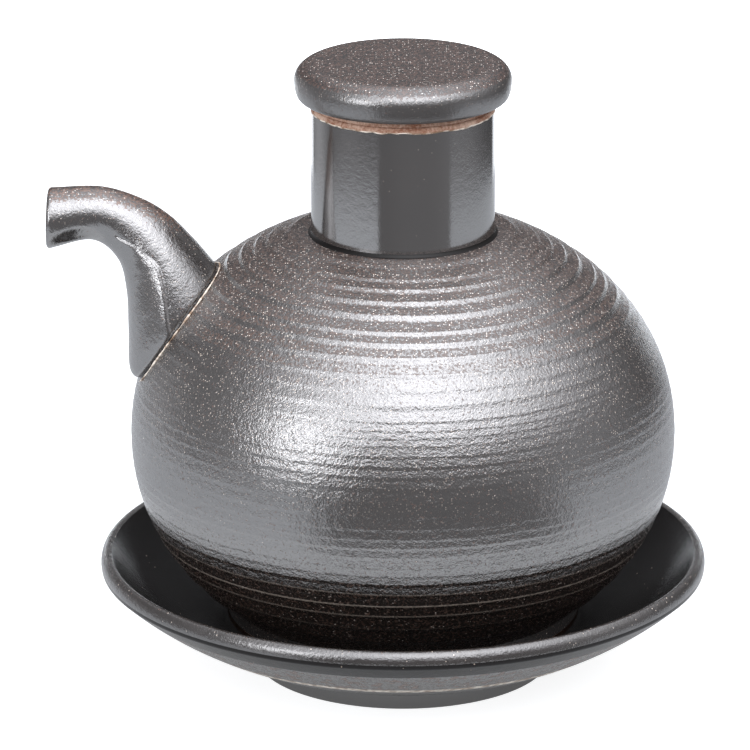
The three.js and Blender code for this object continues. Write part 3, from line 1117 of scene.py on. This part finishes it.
# Glows on the tent's cloth, as (angle round from the camera, angle above the table,
# half width in degrees, strength, level of the direction below which it is cut off).
GLOWS = [
    (172, 66, 20, 2.5, -1), (-75, 6, 24, 0.36, -1), (80, 10, 32, 0.36, -1), (85, 50, 24, 0.4, -1),
    (-130, -8, 18, 0.7, -1), (5, -14, 44, 0.17, -1), (13, 55, 32, 4.9, 0.36),
]
CLOTH_STRENGTH = 0.12  # between the glows
level_part = add_node(tree, "ShaderNodeSeparateXYZ", {"Vector": direction}).outputs["Z"]
brightness = None
for around, above, half_width, strength, sill in GLOWS:
    near = add_node(
        tree, "ShaderNodeVectorMath", {0: direction, 1: towards(around, above)},
        operation="DOT_PRODUCT",
    )
    narrow = math.log(2) / (1 - math.cos(math.radians(half_width)))
    fall = add_node(
        tree, "ShaderNodeMath", {0: near.outputs["Value"], 1: narrow, 2: -narrow},
        operation="MULTIPLY_ADD",
    )
    glow = add_node(tree, "ShaderNodeMath", {0: fall.outputs["Value"]}, operation="EXPONENT")
    shown = add_node(
        tree, "ShaderNodeMapRange",
        {"Value": level_part, "From Min": sill - 0.18, "From Max": sill + 0.2, "To Max": strength},
        interpolation_type="SMOOTHSTEP",
    )
    brightness = add_node(
        tree, "ShaderNodeMath",
        {0: glow.outputs["Value"], 1: shown.outputs["Result"],
         2: brightness.outputs["Value"] if brightness else CLOTH_STRENGTH},
        operation="MULTIPLY_ADD",
    )
cloth = add_node(
    tree, "ShaderNodeBackground",
    {"Color": [0.955, 0.957, 1, 1], "Strength": brightness.outputs["Value"]},
)
white = add_node(tree, "ShaderNodeBackground", {"Color": [1, 1, 1, 1], "Strength": 1.0})
path = add_node(tree, "ShaderNodeLightPath")
seen = add_node(tree, "ShaderNodeMixShader", {"Fac": straight_rays(tree, path)})
tree.links.new(cloth.outputs["Background"], seen.inputs[1])
tree.links.new(white.outputs["Background"], seen.inputs[2])
add_node(tree, "ShaderNodeOutputWorld", {"Surface": seen.outputs["Shader"]})

MIDDLE = Vector((AXIS_X, 0, 0.06))  # what the box is turned to
BOX_SIZE = (0.34, 0.38)
BOX_RADIANCE = 5.6
BOX_DISTANCE = 0.8
BOX_WAY = towards(-43, 18)
box_light = bpy.data.lights.new("left box", "AREA")
box_light.shape = "RECTANGLE"
box_light.size, box_light.size_y = BOX_SIZE
box_light.energy = BOX_RADIANCE * math.pi * BOX_SIZE[0] * BOX_SIZE[1]
box_light.color = (0.96, 0.965, 1)
left_box = bpy.data.objects.new("left box", box_light)
left_box.location = MIDDLE + BOX_WAY * BOX_DISTANCE
left_box.rotation_euler = BOX_WAY.to_track_quat("Z", "Y").to_euler()
left_box.visible_camera = False
bpy.context.scene.collection.objects.link(left_box)

# Camera.
# A long lens, a little more than a metre away and looking slightly down, as in the photograph.

PHOTO_WIDTH = 750  # pixels
AXIS_OFF_MIDDLE = 28  # pixels from the photograph's middle to the turning axis
CAMERA_TILT = 18.371  # degrees that it looks down
CAMERA_BACK = 1.1218
CAMERA_HEIGHT = 0.4331
camera_data = bpy.data.cameras.new("camera")
camera_data.lens = 281.08
camera_data.sensor_width = 36
camera_data.shift_x = -AXIS_OFF_MIDDLE / PHOTO_WIDTH
camera_data.clip_start = 0.05
camera_data.clip_end = 20
camera = bpy.data.objects.new("camera", camera_data)
camera.location = (AXIS_X, -CAMERA_BACK, CAMERA_HEIGHT)
camera.rotation_euler = (math.radians(90 - CAMERA_TILT), 0, 0)
bpy.context.scene.collection.objects.link(camera)
bpy.context.scene.camera = camera
bpy.context.scene.view_settings.view_transform = "Standard"
